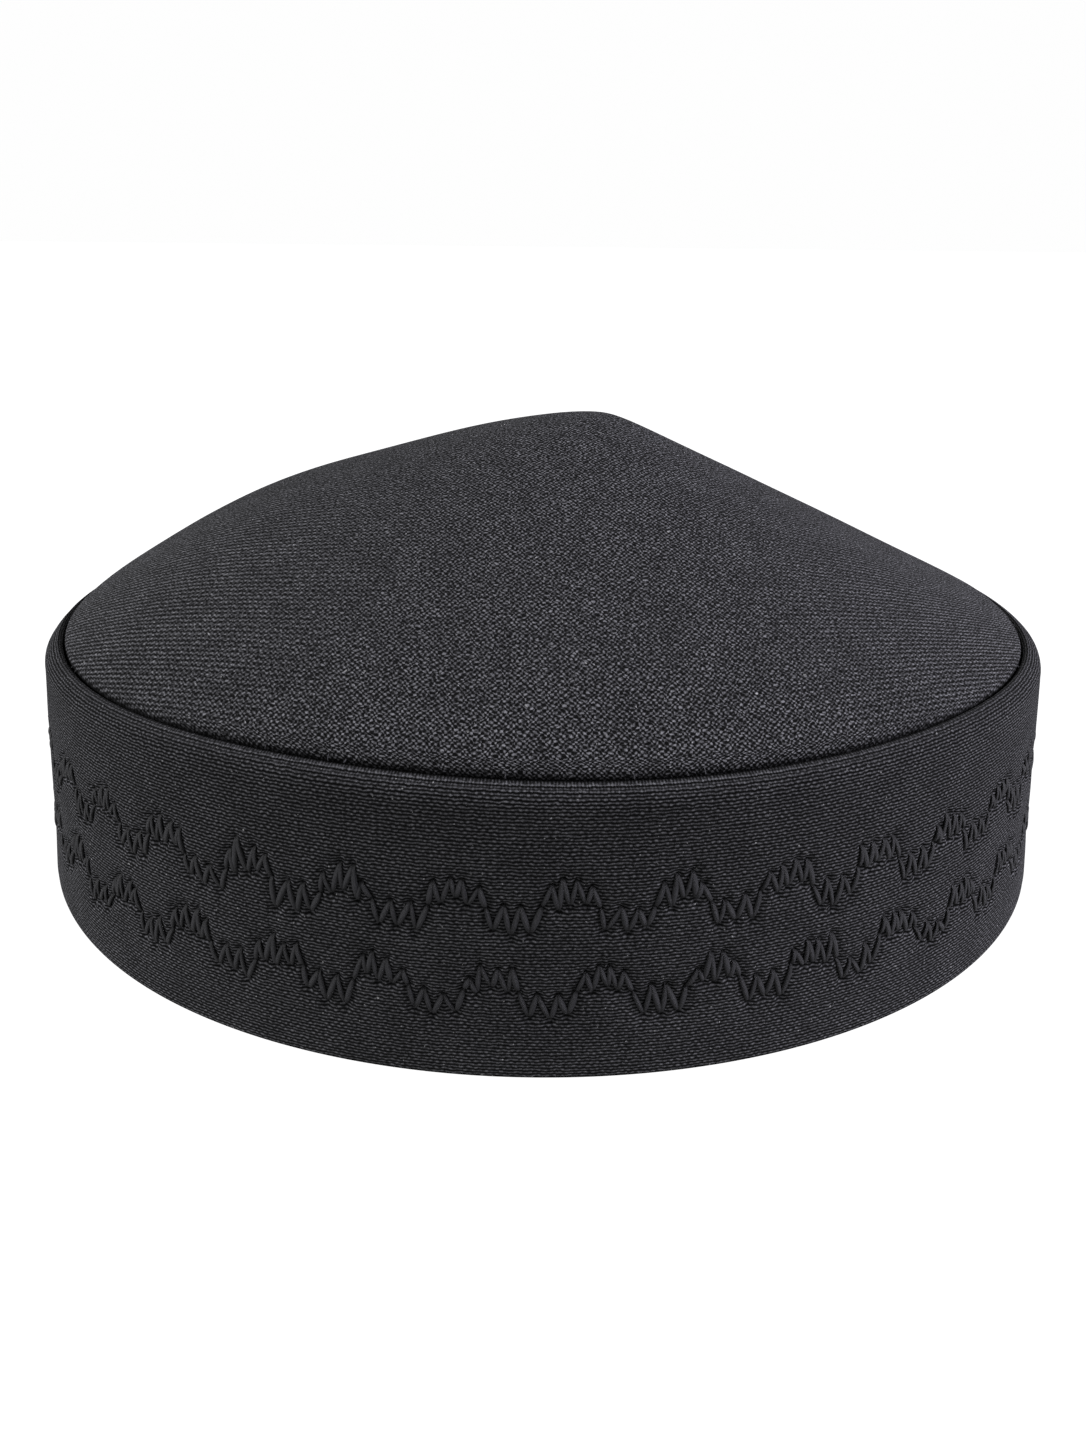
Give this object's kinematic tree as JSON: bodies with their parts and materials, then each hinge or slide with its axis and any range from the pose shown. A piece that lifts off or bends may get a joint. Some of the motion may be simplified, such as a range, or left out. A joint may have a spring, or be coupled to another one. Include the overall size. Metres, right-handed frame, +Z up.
{
  "type": "topi cap",
  "caption": "Black oval cloth cap: a low stiff band with stepped zigzag stitching and a one-piece crown that rises to a soft off-centre peak.",
  "frame": {"origin": "centre of the rim's oval, on the plane that the rim rests on", "axes": "+X along the long way of the cap, towards the end that the peak leans to; +Z up, from the rim to the peak; -Y is the side that the picture shows"},
  "size_m": [0.1934, 0.1716, 0.079],
  "materials": {
    "band_cloth": "black plain-woven cotton blend over a stiff body, matt, fine crosswise ribs, folded edges",
    "crown_cloth": "black plain-woven cotton blend, matt, straight fine weave with scattered pale slubs",
    "thread": "black polyester sewing thread, slightly glossy, twisted"
  },
  "bodies": {
    "root": {"band": "band_cloth", "crown": "crown_cloth"}
  },
  "joints": []
}
